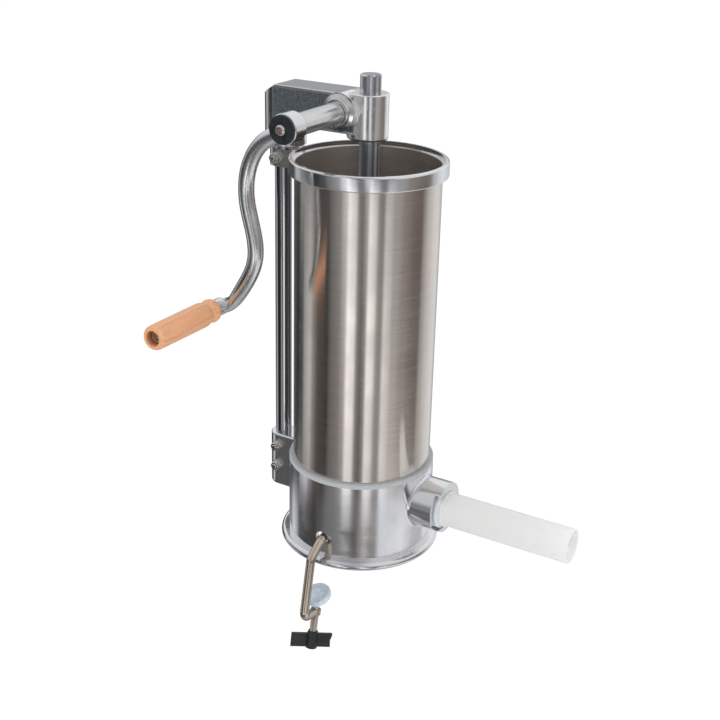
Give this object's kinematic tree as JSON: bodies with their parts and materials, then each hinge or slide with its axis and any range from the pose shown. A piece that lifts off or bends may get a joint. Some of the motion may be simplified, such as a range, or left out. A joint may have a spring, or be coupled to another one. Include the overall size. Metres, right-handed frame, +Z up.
{
  "type": "sausage stuffer",
  "caption": "Hand-cranked vertical sausage stuffer: steel cylinder on a cast base with side nozzle, rear column, rack-and-pinion head, S-crank with wooden grip and screw table clamp.",
  "frame": {"origin": "centre of the foot's round underside, on the cylinder's axis", "axes": "+Z up along the cylinder, +X along the nozzle, the column at -X, the crank on the -Y side"},
  "size_m": [0.3184, 0.2546, 0.5195],
  "materials": {
    "polished_aluminium": "polished casting",
    "cast_aluminium": "as-cast grey sides, machined edges",
    "satin_aluminium": "tumbled satin",
    "brushed_stainless": "brushed round the cylinder",
    "chrome_steel": "chrome plated",
    "turned_steel": "bright turned",
    "nickel_steel": "nickel plated",
    "bronze": "plain bearing bronze",
    "grey_silicone": "soft translucent grey",
    "piston_polymer": "white food-grade plastic",
    "milky_plastic": "milky translucent",
    "black_plastic": "matte black",
    "pad_plastic": "pale blue translucent",
    "beech": "oiled turned wood"
  },
  "bodies": {
    "frame": {"base_casting": "polished_aluminium", "base_gasket": "grey_silicone", "cylinder": "brushed_stainless", "top_ring": "polished_aluminium", "column_rod": "chrome_steel", "base_lug_bolts": "nickel_steel", "base_lug_nuts": "nickel_steel", "base_lug_washers": "nickel_steel", "ring_bolt": "nickel_steel", "ring_nut": "nickel_steel", "ring_washers": "nickel_steel", "head_casting": "cast_aluminium", "head_lock_screw": "nickel_steel", "shaft_bush": "turned_steel", "back_bush": "bronze"},
    "crank": {"pinion_shaft": "turned_steel", "pinion_gear": "turned_steel", "pinion_key": "nickel_steel", "crank_arm": "satin_aluminium", "crank_end_disc": "black_plastic", "crank_screw": "nickel_steel", "grip_spindle": "nickel_steel"},
    "grip": {"wooden_grip": "beech"},
    "rack": {"rack_bar": "chrome_steel", "piston_disc": "piston_polymer", "piston_seal": "grey_silicone", "piston_screw": "nickel_steel"},
    "nozzle": {"stuffing_nozzle": "milky_plastic"},
    "clamp_frame": {"clamp_rod": "nickel_steel", "clamp_nut": "nickel_steel"},
    "pad": {"clamp_pad": "pad_plastic"},
    "screw": {"clamp_screw": "nickel_steel", "clamp_wing": "black_plastic"}
  },
  "joints": [
    {"name": "crank_spin", "type": "hinge", "parent": "frame", "child": "crank", "pos_m": [-0.019, 0, 0.4043], "axis": [0, -1, 0], "range_deg": [-28, 1312]},
    {"name": "rack_slide", "type": "slide", "parent": "frame", "child": "rack", "axis": [0, 0, 1], "range_m": [-0.0061, 0.2752]},
    {"name": "grip_spin", "type": "hinge", "parent": "crank", "child": "grip", "pos_m": [-0.094, -0.139, 0.238], "axis": [0, -1, 0], "continuous": true},
    {"name": "nozzle_slide", "type": "slide", "parent": "frame", "child": "nozzle", "axis": [0, -1, 0], "range_m": [0, 0.045]},
    {"name": "clamp_swing", "type": "hinge", "parent": "frame", "child": "clamp_frame", "pos_m": [0, -0.0649, 0.025], "axis": [1, 0, 0], "range_deg": [-7, 7.5]},
    {"name": "pad_feed", "type": "slide", "parent": "clamp_frame", "child": "pad", "axis": [0, 0.1994, 0.9799], "range_m": [0, 0.0145]},
    {"name": "screw_turn", "type": "hinge", "parent": "pad", "child": "screw", "pos_m": [0, -0.07549, -0.03509], "axis": [0, 0.1994, 0.9799], "range_deg": [0, 5220]}
  ],
  "couplings": [
    {"joint": "rack_slide", "follows": "crank_spin", "m_per_rad": 0.012},
    {"joint": "screw_turn", "follows": "pad_feed", "rad_per_m": 6283.2}
  ]
}
